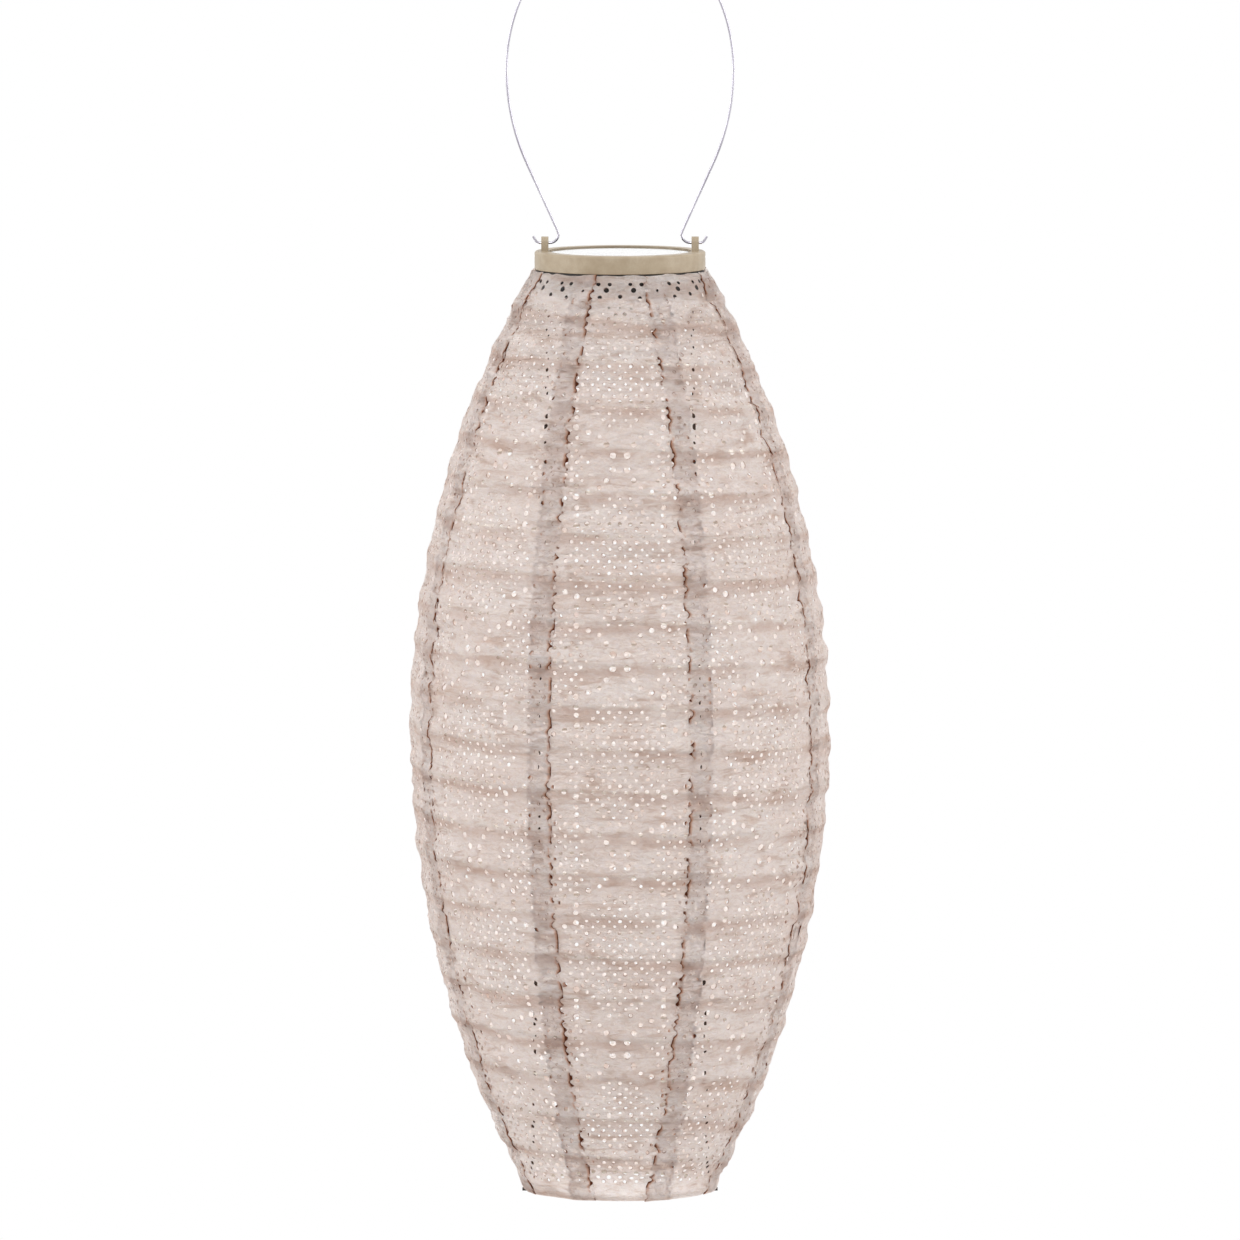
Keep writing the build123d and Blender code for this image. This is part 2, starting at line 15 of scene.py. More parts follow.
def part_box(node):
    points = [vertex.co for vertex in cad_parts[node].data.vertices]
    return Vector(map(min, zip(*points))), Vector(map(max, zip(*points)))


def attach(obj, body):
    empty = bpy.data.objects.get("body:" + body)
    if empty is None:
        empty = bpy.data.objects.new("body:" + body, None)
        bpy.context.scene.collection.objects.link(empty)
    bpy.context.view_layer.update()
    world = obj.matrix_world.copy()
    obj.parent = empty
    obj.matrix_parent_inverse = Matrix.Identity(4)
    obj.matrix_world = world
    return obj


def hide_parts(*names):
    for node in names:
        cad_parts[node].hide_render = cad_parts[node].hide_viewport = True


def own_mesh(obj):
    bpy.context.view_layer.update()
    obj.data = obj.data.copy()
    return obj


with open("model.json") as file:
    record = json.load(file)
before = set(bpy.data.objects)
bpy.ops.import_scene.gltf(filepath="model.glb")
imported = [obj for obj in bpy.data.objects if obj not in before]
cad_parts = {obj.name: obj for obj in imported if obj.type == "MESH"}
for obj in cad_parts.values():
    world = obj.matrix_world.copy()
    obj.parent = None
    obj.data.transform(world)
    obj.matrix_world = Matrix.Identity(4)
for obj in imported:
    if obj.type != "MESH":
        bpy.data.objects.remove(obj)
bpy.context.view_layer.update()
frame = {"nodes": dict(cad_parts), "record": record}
record = frame["record"]

MM = 0.001
NOISE_CELLS = 192  # the noise repeats after these

# Places from the frame, in metres
SHADE_TOP_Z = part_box("fabric_gore_1")[1].z
SHADE_BOTTOM_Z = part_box("fabric_gore_1")[0].z
SHADE_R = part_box("fabric_gore_3")[1].x
TOP_RING_Z = sum((c.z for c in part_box("shade_top_ring")), 0.0) / 2
BOTTOM_RING_Z = sum((c.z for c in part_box("shade_bottom_ring")), 0.0) / 2

# The shade's outline, as in the CAD: two arcs that meet at the widest place
WIDEST_Z = SHADE_TOP_Z - 220.0 * MM
TOP_R = 42.8 * MM
BOTTOM_R = 45.5 * MM
GORES = 8
FRONT = -math.pi / 2

# Fabric, in millimetres on the flat cloth
OVERLAP = 12.0
CLOTH_THICK = 0.25
LAYER_LIFT = 0.32
TOP_RISE = 0.9  # the cloth's top edge comes up past the plain solid, to just under the cap
GRID_ACROSS = 3.0
GRID_DOWN = 1.8
GRID_EDGE_MARGIN = 2.0
HOLE_MARGIN = 1.1
EDGE_STEP = 0.5
END_POINTS = 40  # along each end of a gore
OUTSIDE = -0.05  # a triangle whose middle is this far past the cut edge is left out
CDT_TOLERANCE = 1e-4
FROM_EDGE_LIMIT = 5.0  # the material asks for nothing further in
CLOTH_SHARP = math.radians(65)

# The cut edges, in millimetres: they wander, and run through holes that bite into them
RIGHT_EDGE_SEED = 11
LEFT_EDGE_SEED = 13
EDGE_WANDER = 0.5
WANDER_CELL = 3.1
BITE_STEP = 4.2
BITE_R = 1.45
BITE_R_SPREAD = 0.45
BITE_DRIFT = 0.12  # in steps
LEAST_DRIFT = -0.35  # a bite that drifts down more than this is left out
DRIFT_STRIDE = 7.0  # cells of noise from one bite to the next, so that each gets its own value
SIZE_STRIDE = 5.0
TOP_EDGE_SEED = 90
TOP_EDGE_WANDER = 0.45
TOP_EDGE_CELL = 3.4

# Spiral rib, as in the CAD
RIB_PITCH = 19.9 * MM
RIB_START_ANGLE = math.radians(5.0)
RIB_WIRE_R = 0.6 * MM
RIB_INSET = 1.15 * MM
RIB_END_CLEAR = 2.4 * MM
RIB_START_Z = TOP_RING_Z - RIB_END_CLEAR
RIB_END_Z = BOTTOM_RING_Z + RIB_END_CLEAR
RIB_POINTS_PER_TURN = 72
WIRE_SIDES = 10

# The hung cloth, in millimetres
SAG = 1.2  # how far it falls in between two turns
SAG_AT_ENDS = 0.35
RIDGE_SOFTNESS = 0.02  # how round the cloth lies over a turn
ON_RIB = 0.3  # the wrinkles' share that is left where the cloth lies on a turn
ON_RIB_REACH = 0.3
END_FADE = 14.0  # sag and wrinkles fade towards both ends
WRINKLE_AT_ENDS = 0.4
SEAM_HALF_WIDTH = 4.0
SEAM_FADE = 8.0
FREE_EDGE = 5.0  # the width of an upper layer's edge that can lift
LAYER_STEP = 4.0  # the width in which an upper layer rises over the lower one's edge
LAYER_STEP_BEFORE = 3.0
FLARE = 0.6  # at the bottom hem
FLARE_HEIGHT = 8.0
TOP_HUG = 0.35  # the cloth is drawn in at the top ring
TOP_HUG_HEIGHT = 3.5

# Layers of noise in it: seed, height, more height at a seam, and the cells' sizes across and down
FOLDS = (41, 0.8, 0.0, 38.0, 7.5)
CREASE_LINES = (40, 1.0, 0.0, 46.0, 6.5)
CREASES = (42, 1.5, 0.0, 30.0, 30.0)
CREASE_SHARPNESS = 8
WRINKLES = (43, 0.5, 0.5, 13.0, 3.8)
FINE_WRINKLES = (44, 0.25, 0.2, 6.0, 2.6)
DRIFT = (45, 0.4, 0.0, 60.0, 60.0)
FLUTTER = (46, 0.75, 0.0, 50.0, 4.6)

# The painted shade in the fold under each turn, in parts of the pitch
FOLD_WANDER = (47, 0.12, 0.0, 45.0, 45.0)
FOLD_START = 0.06
FOLD_END = 0.42
FOLD_FADE = 0.3


# ---------------------------------------------------------------- shape of the shade


def arc_radius(end_radius, height):
    """The radius of an outline arc from the widest place to an end at this height from it."""
    inset = SHADE_R - end_radius
    return (height**2 + inset**2) / (2 * inset)


UPPER_ARC = arc_radius(TOP_R, SHADE_TOP_Z - WIDEST_Z)
LOWER_ARC = arc_radius(BOTTOM_R, WIDEST_Z - SHADE_BOTTOM_Z)


def profile(run):
    """Radius, height and slope angle at a distance along the outline, up from the widest place."""
    arc = np.where(run > 0, UPPER_ARC, LOWER_ARC)
    angle = run / arc
    return SHADE_R - arc + arc * np.cos(angle), WIDEST_Z + arc * np.sin(angle), angle


def run_at(z):
    """The distance along the outline at height z."""
    arc = UPPER_ARC if z > WIDEST_Z else LOWER_ARC
    return arc * math.asin((z - WIDEST_Z) / arc)


RUN_TOP = run_at(SHADE_TOP_Z) / MM + TOP_RISE
RUN_BOTTOM = run_at(SHADE_BOTTOM_Z) / MM


def smooth(t):
    """An even step from 0 to 1, flat at both ends."""
    t = np.clip(t, 0, 1)
    return t * t * (3 - 2 * t)


def lattice_noise(seed, x, y, cell_x, cell_y, cells_x=NOISE_CELLS):
    """Smooth noise from -1 to 1 on a grid of cells, the same for the same seed."""
    grid = np.random.RandomState(seed).uniform(-1, 1, (NOISE_CELLS, NOISE_CELLS))
    gx, gy = x / cell_x, y / cell_y
    ix, iy = np.floor(gx).astype(int), np.floor(gy).astype(int)
    tx, ty = smooth(gx - ix), smooth(gy - iy)
    left, right = ix % cells_x, (ix + 1) % cells_x
    low, high = iy % NOISE_CELLS, (iy + 1) % NOISE_CELLS
    lower = grid[left, low] * (1 - tx) + grid[right, low] * tx
    upper = grid[left, high] * (1 - tx) + grid[right, high] * tx
    return lower * (1 - ty) + upper * ty


def shade_noise(layer, azimuth, run, seam=0.0):
    """A layer of noise that closes round the shade, so that overlapping cloth folds alike."""
    seed, height, at_seam, cell_across, cell_down = layer
    cells = round(2 * math.pi * SHADE_R / MM / cell_across)
    turn = azimuth / (2 * math.pi) * cells
    return (height + at_seam * seam) * lattice_noise(seed, turn, run, 1.0, cell_down, cells)


# ---------------------------------------------------------------- the flat gore and its holes

# The pattern is a half-drop repeat of pointed medallions filled with dots. A cross of larger holes
# lies where the tips of two medallions meet, and its arms run on between the medallions.
REPEAT_DOWN = 94.0
REPEAT_ACROSS = 83.2
CROSS_RUN = 44.0  # a cross on the gore's middle
CROSS_ARM = [  # across, down and radius of one arm's holes, from the cross's middle
    (3.4, 3.3, 1.6),
    (6.5, 8.6, 1.3),
    (9.7, 12.4, 1.1),
    (15.0, 14.5, 1.3),
    (20.8, 16.6, 1.5),
    (20.8, 21.7, 1.25),
]
MEDALLION_FROM_CROSS = [15.0, 22.0, 28.0, 37.0, REPEAT_DOWN / 2]
MEDALLION_HALF_WIDTH = [2.5, 12.0, 14.5, 24.0, 28.0]
PATTERN_SEED = 7
DOT_R = 0.95
DOT_SIZES = (0.66, 1.12)  # times the radius
DOT_DRIFT = 0.4
DOT_ACROSS = REPEAT_ACROSS / 16
DOT_DOWN = REPEAT_DOWN / 32
DOT_EDGE_MARGIN = 2.0
SMALL_ZONE = 45.0  # below the top, where the dots are smaller
SMALL_SIZE = 0.8
BORDER = (11.5, 21.5)  # the larger dots near the bottom, between these heights over the edge
BORDER_R = 1.2
BORDER_HALF_WIDTH = 12.0
HEM = 7.0
TOP_MARGIN = 2.1
TOP_BORDER = 13.0  # scattered holes over the light module
TOP_BORDER_CHANCE = 0.45
TOP_BORDER_SIZES = (1.1, 1.7)
EDGE_MARGIN = 3.2  # from a hole's centre to the cut edge
HOLE_GAP = 0.5  # the least cloth between two holes
ON_MIDDLE = 0.1  # a hole so close to the gore's middle has no twin on the other side
SMALL_HOLE_R = 1.15
SMALL_HOLE_SIDES = 8
HOLE_SIDES = 12
RIM_WIDTH = 0.4  # the browned ring round each hole, partly singed and partly painted shade
RIM_CLEAR = 0.6  # the part of a rim's width that it keeps from the next hole
RIM_NEIGHBOURS = 6.0
GRID_NEIGHBOURS = 3.0
IN_CLOTH = -2  # the owner of a point that isn't on a cut line


def half_width(run):
    """Half of the flat gore's width at a distance along the outline, both in mm."""
    radius = profile(np.asarray(run, float) * MM)[0] / MM
    return math.pi * radius / GORES + OVERLAP / 2


def line_noise(seed, along, cell=1.0):
    """Noise from -1 to 1 along a line."""
    return lattice_noise(seed, along, np.zeros_like(along), cell, 1.0)


def edge_wave(run, seed):
    """The cut edge wanders in and out, where it runs through the pattern's holes."""
    wander = EDGE_WANDER * line_noise(seed, run, WANDER_CELL)
    number = np.floor(run / BITE_STEP)
    drift = line_noise(seed + 1, number * DRIFT_STRIDE)
    size = BITE_R + BITE_R_SPREAD * line_noise(seed + 2, number * SIZE_STRIDE)
    from_bite = run - (number + 0.5 + BITE_DRIFT * drift) * BITE_STEP
    bite = np.sqrt(np.clip(size**2 - from_bite**2, 0, None))
    return wander - bite * (drift > LEAST_DRIFT)


def right_edge(run):
    return half_width(run) + edge_wave(run, RIGHT_EDGE_SEED)


def left_edge(run):
    return half_width(run) + edge_wave(run, LEFT_EDGE_SEED)


def columns():
    """The columns of crosses that a gore reaches, as (middle, the run of one of its crosses)."""
    half_drop = CROSS_RUN - REPEAT_DOWN / 2
    yield 0.0, CROSS_RUN
    yield REPEAT_ACROSS / 2, half_drop
    yield -REPEAT_ACROSS / 2, half_drop


def in_medallion(across, run):
    """True inside one of the pointed medallions, which lie halfway between two crosses."""
    for middle, cross_run in columns():
        half = REPEAT_DOWN / 2
        from_cross = abs((run - cross_run + half) % REPEAT_DOWN - half)
        if from_cross < MEDALLION_FROM_CROSS[0]:
            continue
        reach = np.interp(from_cross, MEDALLION_FROM_CROSS, MEDALLION_HALF_WIDTH)
        if abs(across - middle) < reach:
            return True
    return False


def dots(chance):
    """The small holes of the medallions on the right half, on a staggered grid."""
    row = math.ceil((RUN_BOTTOM + HEM - CROSS_RUN) / DOT_DOWN)
    run = CROSS_RUN + row * DOT_DOWN
    while run < RUN_TOP - TOP_MARGIN:
        in_border = BORDER[0] < run - RUN_BOTTOM < BORDER[1]
        column = 0.5 if row % 2 else 0.0
        while column * DOT_ACROSS < half_width(run) - DOT_EDGE_MARGIN:
            across = column * DOT_ACROSS
            drift = chance.uniform(-DOT_DRIFT, DOT_DRIFT, 2)
            size = chance.uniform(*DOT_SIZES) * (SMALL_SIZE if run > RUN_TOP - SMALL_ZONE else 1.0)
            if run > RUN_TOP - TOP_BORDER:
                wanted = chance.uniform() < TOP_BORDER_CHANCE
                size *= chance.uniform(*TOP_BORDER_SIZES)
            else:
                wanted = in_medallion(across, run)
            if wanted:
                radius = (BORDER_R if in_border and across < BORDER_HALF_WIDTH else DOT_R) * size
                yield (across + drift[0] if column else 0.0), run + drift[1], radius
            column += 1
        row += 1
        run = CROSS_RUN + row * DOT_DOWN


def cross_holes():
    """The larger holes of the crosses and their arms."""
    for middle, first_run in columns():
        first = math.floor((RUN_BOTTOM - first_run) / REPEAT_DOWN) - 1
        for number in range(first, -first + 1):
            cross_run = first_run + number * REPEAT_DOWN
            for side, rise in ((1, 1), (1, -1), (-1, 1), (-1, -1)):
                for across, down, radius in CROSS_ARM:
                    yield middle + side * across, cross_run + rise * down, radius


def holes():
    """Centres and radii of one gore's punched holes, the same on both sides of its middle."""
    kept = []
    chance = np.random.RandomState(PATTERN_SEED)
    low, high = RUN_BOTTOM + HEM, RUN_TOP - TOP_MARGIN
    for across, run, radius in [*cross_holes(), *dots(chance)]:
        if across < 0 or not low < run < high or across > half_width(run) - EDGE_MARGIN:
            continue
        if all(math.hypot(a - across, b - run) > r + radius + HOLE_GAP for a, b, r in kept):
            kept.append((across, run, radius))
    return kept + [(-across, run, radius) for across, run, radius in kept if across > ON_MIDDLE]


def outline():
    """The cut outline of the flat cloth, counterclockwise."""
    runs = np.linspace(RUN_BOTTOM, RUN_TOP, int((RUN_TOP - RUN_BOTTOM) / EDGE_STEP))
    right, left = right_edge(runs), -left_edge(runs)
    across_top = np.linspace(right[-1], left[-1], END_POINTS)[1:-1]
    across_bottom = np.linspace(left[0], right[0], END_POINTS)[1:-1]
    points = list(zip(right, runs))
    points += [(a, RUN_TOP) for a in across_top]
    points += list(zip(left[::-1], runs[::-1]))
    points += [(a, RUN_BOTTOM) for a in across_bottom]
    return points


def circle(across, run, radius, start=0.0):
    """Points on a circle, the first one turned by a part of a side."""
    sides = SMALL_HOLE_SIDES if radius < SMALL_HOLE_R else HOLE_SIDES
    turns = [(k + start) * 2 * math.pi / sides for k in range(sides)]
    return [(across + radius * math.cos(t), run + radius * math.sin(t)) for t in turns]


def rim_points(punched):
    """A ring of points just outside each hole, where the browned rim, partly singed and partly
    painted shade, ends.
    """
    for across, run, radius in punched:
        distance = np.hypot(punched[:, 0] - across, punched[:, 1] - run)
        near = punched[distance < RIM_NEIGHBOURS]
        for point in circle(across, run, radius + RIM_WIDTH, 0.5):
            gap = np.hypot(near[:, 0] - point[0], near[:, 1] - point[1]) - near[:, 2]
            if gap.min() > RIM_WIDTH * RIM_CLEAR:
                yield point


def grid_points(centres):
    """Staggered points between the holes, so that the cloth can bend."""
    rows = int((RUN_TOP - RUN_BOTTOM) / GRID_DOWN)
    for row in range(1, rows):
        run = RUN_BOTTOM + row * GRID_DOWN
        limit = float(half_width(run)) - GRID_EDGE_MARGIN
        near = centres[abs(centres[:, 1] - run) < GRID_NEIGHBOURS]
        shift = GRID_ACROSS / 2 if row % 2 else 0.0
        for across in np.arange(-limit + shift, limit, GRID_ACROSS):
            gap = np.hypot(near[:, 0] - across, near[:, 1] - run) - near[:, 2]
            if not len(near) or gap.min() > HOLE_MARGIN:
                yield across, run


def flat_gore():
    """The flat cloth with its holes cut out, as points in mm and triangles, and for each point
    whether it is on a hole's rim."""
    punched = np.array(holes())
    loops = [outline()] + [circle(*hole) for hole in punched]
    points, constraints, owners = [], [], []
    for number, loop in enumerate(loops):
        first, count = len(points), len(loop)
        points += loop
        owners += [number - 1] * count
        constraints += [(first + k, first + (k + 1) % count) for k in range(count)]
    spread = [*rim_points(punched), *grid_points(punched)]
    points += spread
    owners += [IN_CLOTH] * len(spread)
    made = delaunay_2d_cdt([Vector(p) for p in points], constraints, [], 0, CDT_TOLERANCE)
    flat = np.array([(p.x, p.y) for p in made[0]])
    owner = np.array([owners[o[0]] if o else IN_CLOTH for o in made[3]])
    triangles = np.array([f for f in made[2] if len(f) == 3])
    corners = owner[triangles]
    in_hole = (corners[:, 0] >= 0) & (corners == corners[:, :1]).all(1)
    middle = flat[triangles].mean(1)
    outside = edge_distance(middle) < OUTSIDE
    return flat, triangles[~(in_hole | outside)], owner >= 0


def edge_distance(flat):
    """How far each point is inside the cut edge on its side."""
    across, run = flat[:, 0], flat[:, 1]
    return np.where(across > 0, right_edge(run), left_edge(run)) - abs(across)


# ---------------------------------------------------------------- hanging the gores on the spiral


def rib_phase(z, azimuth):
    """How far down a place is from one turn of the spiral to the next, from 0 to 1."""
    turns = (RIB_START_Z - z) / RIB_PITCH - (azimuth - RIB_START_ANGLE) / (2 * math.pi)
    return turns - np.floor(turns)


def over_low_side(index):
    """True where the gore's edge at its lower azimuth lies over its neighbour."""
    return 1 <= index <= GORES // 2


def over_high_side(index):
    """True where the gore's edge at its higher azimuth lies over its neighbour."""
    return GORES // 2 <= index < GORES


def gore_offset(index, across, run, z, azimuth):
    """How far the cloth stands off the plain outline, in mm."""
    phase = rib_phase(z, azimuth)
    ridge = np.sqrt(np.sin(math.pi * phase) ** 2 + RIDGE_SOFTNESS) - math.sqrt(RIDGE_SOFTNESS)
    ends = smooth((RUN_TOP - run) / END_FADE) * smooth((run - RUN_BOTTOM) / END_FADE)
    sag = -SAG * ridge * (SAG_AT_ENDS + (1 - SAG_AT_ENDS) * ends)
    from_seam = abs(half_width(run) - OVERLAP / 2 - abs(across))
    seam = 1 - smooth((from_seam - SEAM_HALF_WIDTH) / SEAM_FADE)
    crease = 1 - abs(shade_noise(CREASE_LINES, azimuth, run))
    wrinkle = shade_noise(FOLDS, azimuth, run)
    wrinkle += (crease**CREASE_SHARPNESS) * shade_noise(CREASES, azimuth, run)
    wrinkle += shade_noise(WRINKLES, azimuth, run, seam)
    wrinkle += shade_noise(FINE_WRINKLES, azimuth, run, seam)
    wrinkle *= ON_RIB + (1 - ON_RIB) * smooth(ridge / ON_RIB_REACH)
    wrinkle *= WRINKLE_AT_ENDS + (1 - WRINKLE_AT_ENDS) * ends
    drift = shade_noise(DRIFT, azimuth, run) * ends
    on_top = np.zeros_like(run)
    if over_low_side(index):
        on_top = np.maximum(on_top, (across < 0) * 1.0)
    if over_high_side(index):
        on_top = np.maximum(on_top, (across > 0) * 1.0)
    step_start = half_width(run) - OVERLAP - LAYER_STEP_BEFORE
    lift = on_top * LAYER_LIFT * smooth((abs(across) - step_start) / LAYER_STEP)
    free = smooth((abs(across) - (half_width(run) - FREE_EDGE)) / FREE_EDGE)
    lift += on_top * free * np.maximum(shade_noise(FLUTTER, azimuth, run), 0.0)
    flare = FLARE * smooth((RUN_BOTTOM + FLARE_HEIGHT - run) / FLARE_HEIGHT)
    hug_top = -TOP_HUG * np.exp(-(((z - TOP_RING_Z) / MM) / TOP_HUG_HEIGHT) ** 2)
    return sag + wrinkle + drift + lift + hug_top + flare


def painted_rib_shade(run, z, azimuth):
    """1 where painted shade lies in the fold under a turn of the spiral, fading out downwards."""
    phase = rib_phase(z, azimuth) + shade_noise(FOLD_WANDER, azimuth, run)
    return smooth(phase / FOLD_START) * smooth((FOLD_END - phase) / FOLD_FADE)


def gore_mesh(index, flat, triangles, on_rim):
    """One gore as a closed thin cloth, bent round the shade."""
    centre = FRONT + index * 2 * math.pi / GORES
    across, run = flat[:, 0], flat[:, 1]
    top_wave = TOP_EDGE_WANDER * line_noise(TOP_EDGE_SEED + index, across, TOP_EDGE_CELL)
    run = run + np.where(flat[:, 1] > RUN_TOP - 0.01, top_wave, 0.0)
    radius, z, slope = profile(run * MM)
    azimuth = centre + across * MM / radius
    out = np.stack(
        [np.cos(slope) * np.cos(azimuth), np.cos(slope) * np.sin(azimuth), np.sin(slope)], 1
    )
    place = np.stack([radius * np.cos(azimuth), radius * np.sin(azimuth), z], 1)
    place += out * (gore_offset(index, across, run, z, azimuth) * MM)[:, None]
    inner = place - out * CLOTH_THICK * MM
    edges = np.concatenate([triangles[:, [0, 1]], triangles[:, [1, 2]], triangles[:, [2, 0]]])
    _, first, count = np.unique(np.sort(edges, 1), axis=0, return_index=True, return_counts=True)
    border = edges[first[count == 1]]
    total = len(place)
    faces = triangles.tolist()
    faces += (triangles[:, ::-1] + total).tolist()
    faces += [[b, a, a + total, b + total] for a, b in border.tolist()]
    mesh = bpy.data.meshes.new(f"cloth_gore_{index + 1}")
    mesh.from_pydata(np.concatenate([place, inner]).tolist(), [], faces)
    attributes = {
        "from_edge": edge_distance(flat),
        "painted_rib_shade": painted_rib_shade(run, z, azimuth),
        "rim": on_rim * 1.0,
    }
    for name, values in attributes.items():
        attribute = mesh.attributes.new(name, "FLOAT", "POINT")
        attribute.data.foreach_set("value", np.tile(np.clip(values, 0, FROM_EDGE_LIMIT), 2))
    mesh.shade_smooth()
    mesh.set_sharp_from_angle(angle=CLOTH_SHARP)
    return mesh


def link(name, mesh):
    piece = bpy.data.objects.new(name, mesh)
    bpy.context.scene.collection.objects.link(piece)
    return piece


def build_gores(material):
    """The eight gores, all cut from the same flat pattern."""
    flat, triangles, on_rim = flat_gore()
    widest = 2 * float(half_width(0.0)) * MM
    for index in range(GORES):
        piece = link(f"cloth_gore_{index + 1}", gore_mesh(index, flat, triangles, on_rim))
        piece.data.materials.append(material)
        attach(piece, "cap")
        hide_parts(f"fabric_gore_{index + 1}")
        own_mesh(piece)


# ---------------------------------------------------------------- wires


def tube(name, centres, radius):
    """A closed wire of round section along a list of points."""
    centres = np.asarray(centres, float)
    ahead = np.gradient(centres, axis=0)
    ahead /= np.linalg.norm(ahead, axis=1)[:, None]
    up = np.zeros_like(centres)
    up[:, 2] = 1.0
    side = np.cross(ahead, up)
    side /= np.linalg.norm(side, axis=1)[:, None]
    top = np.cross(side, ahead)
    turn = np.arange(WIRE_SIDES) * 2 * math.pi / WIRE_SIDES
    ring = side[:, None] * np.cos(turn)[None, :, None] + top[:, None] * np.sin(turn)[None, :, None]
    points = (centres[:, None] + ring * radius).reshape(-1, 3)
    count = len(centres)
    faces = []
    for k in range(count - 1):
        for s in range(WIRE_SIDES):
            a, b = k * WIRE_SIDES + s, k * WIRE_SIDES + (s + 1) % WIRE_SIDES
            faces.append((a, b, b + WIRE_SIDES, a + WIRE_SIDES))
    faces.append(tuple(range(WIRE_SIDES))[::-1])
    faces.append(tuple(range((count - 1) * WIRE_SIDES, count * WIRE_SIDES)))
    mesh = bpy.data.meshes.new(name)
    mesh.from_pydata(points.tolist(), [], faces)
    mesh.validate()
    mesh.shade_smooth()
    return link(name, mesh)


def build_rib(material):
    """The spiral wire, from just under the top ring to just over the bottom ring."""
    turns = (RIB_START_Z - RIB_END_Z) / RIB_PITCH
    count = round(turns * RIB_POINTS_PER_TURN)
    z = np.linspace(RIB_START_Z, RIB_END_Z, count)
    angle = RIB_START_ANGLE + np.linspace(0, turns, count) * 2 * math.pi
    arc = np.where(z > WIDEST_Z, UPPER_ARC, LOWER_ARC)
    radius = SHADE_R - arc + np.sqrt((arc - RIB_INSET) ** 2 - (z - WIDEST_Z) ** 2)
    centres = np.stack([radius * np.cos(angle), radius * np.sin(angle), z], 1)
    piece = tube("spiral_wire", centres, RIB_WIRE_R)
    piece.data.materials.append(material)
    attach(piece, "cap")
    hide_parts("spiral_rib")
    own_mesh(piece)


# ---------------------------------------------------------------- materials


def set_range(node, low, high, to_low, to_high):
    """Sets what a Map Range node maps from and to."""
    node.inputs["From Min"].default_value = low
    node.inputs["From Max"].default_value = high
    node.inputs["To Min"].default_value = to_low
    node.inputs["To Max"].default_value = to_high


class Nodes:
    """Small helper that adds and joins shader nodes in one material."""

    def __init__(self, name):
        self.material = bpy.data.materials.new(name)
        self.material.use_nodes = True
        self.tree = self.material.node_tree
        self.shader = self.tree.nodes["Principled BSDF"]
        self.place = self.add("ShaderNodeTexCoord").outputs["Object"]

    def add(self, kind, **values):
        node = self.tree.nodes.new(kind)
        for key, value in values.items():
            if key in node.inputs:
                node.inputs[key].default_value = value
            else:
                setattr(node, key, value)
        return node

    def join(self, out, into):
        self.tree.links.new(out, into)

    def stretched(self, scale):
        mapping = self.add("ShaderNodeMapping")
        mapping.inputs["Scale"].default_value = scale
        self.join(self.place, mapping.inputs["Vector"])
        return mapping.outputs["Vector"]

    def noise(self, scale, detail=5.0, stretch=(1, 1, 1), roughness=0.55, distortion=0.0):
        """Noise in the object's own space, its scale in cells per metre."""
        node = self.add("ShaderNodeTexNoise", Scale=scale, Detail=detail)
        node.inputs["Roughness"].default_value = roughness
        node.inputs["Distortion"].default_value = distortion
        self.join(self.stretched(stretch), node.inputs["Vector"])
        return node.outputs["Fac"]

    def ramp(self, value, low, high, to_low=0.0, to_high=1.0):
        """The value moved from one range to another and kept within it."""
        node = self.add("ShaderNodeMapRange")
        set_range(node, low, high, to_low, to_high)
        self.join(value, node.inputs["Value"])
        return node.outputs["Result"]

    def mix(self, factor, first, second):
        """Two colours, or the outputs that carry them, mixed by a factor."""
        node = self.add("ShaderNodeMix", data_type="RGBA")
        sockets = [s for s in node.inputs if s.type == "RGBA"]
        for socket, value in zip(sockets, (first, second)):
            if isinstance(value, tuple):
                socket.default_value = (*value, 1.0)
            else:
                self.join(value, socket)
        self.join(factor, node.inputs["Factor"])
        return next(s for s in node.outputs if s.type == "RGBA")

    def math(self, operation, first, second):
        node = self.add("ShaderNodeMath", operation=operation)
        for socket, value in zip(node.inputs, (first, second)):
            if isinstance(value, float):
                socket.default_value = value
            else:
                self.join(value, socket)
        return node.outputs["Value"]

    def part(self, value, share):
        """A share of a value: a number, or another output."""
        return self.math("MULTIPLY", value, share)

    def attribute(self, name):
        """A number that the mesh carries at each point."""
        return self.add("ShaderNodeAttribute", attribute_name=name).outputs["Fac"]

    def bump(self, height, distance, strength=1.0, below=None):
        """A relief of the given depth, on top of another one if there is one below."""
        node = self.add("ShaderNodeBump")
        node.inputs["Distance"].default_value = distance
        node.inputs["Strength"].default_value = strength
        self.join(height, node.inputs["Height"])
        if below is not None:
            self.join(below, node.inputs["Normal"])
        return node.outputs["Normal"]


def finish(name, low, high, grain, rough, bump, stretch=(1, 1, 1), metallic=0.0, coat=0.0,
           shine=0.5):
    """A general finish: mottled colour, uneven roughness and a fine relief at the grain's scale."""
    n = Nodes(name)
    mottle = n.noise(grain / 9, 4.0, stretch)
    fine = n.noise(grain, 6.0, stretch)
    colour = n.mix(n.ramp(mottle, 0.3, 0.7), low, high)
    speck = n.ramp(fine, 0.42, 0.62)
    colour = n.mix(n.part(speck, 0.35), colour, low)
    n.join(colour, n.shader.inputs["Base Color"])
    n.join(n.ramp(fine, 0.3, 0.7, *rough), n.shader.inputs["Roughness"])
    n.join(n.bump(fine, bump), n.shader.inputs["Normal"])
    n.shader.inputs["Metallic"].default_value = metallic
    n.shader.inputs["Coat Weight"].default_value = coat
    n.shader.inputs["Specular IOR Level"].default_value = shine
    return n.material


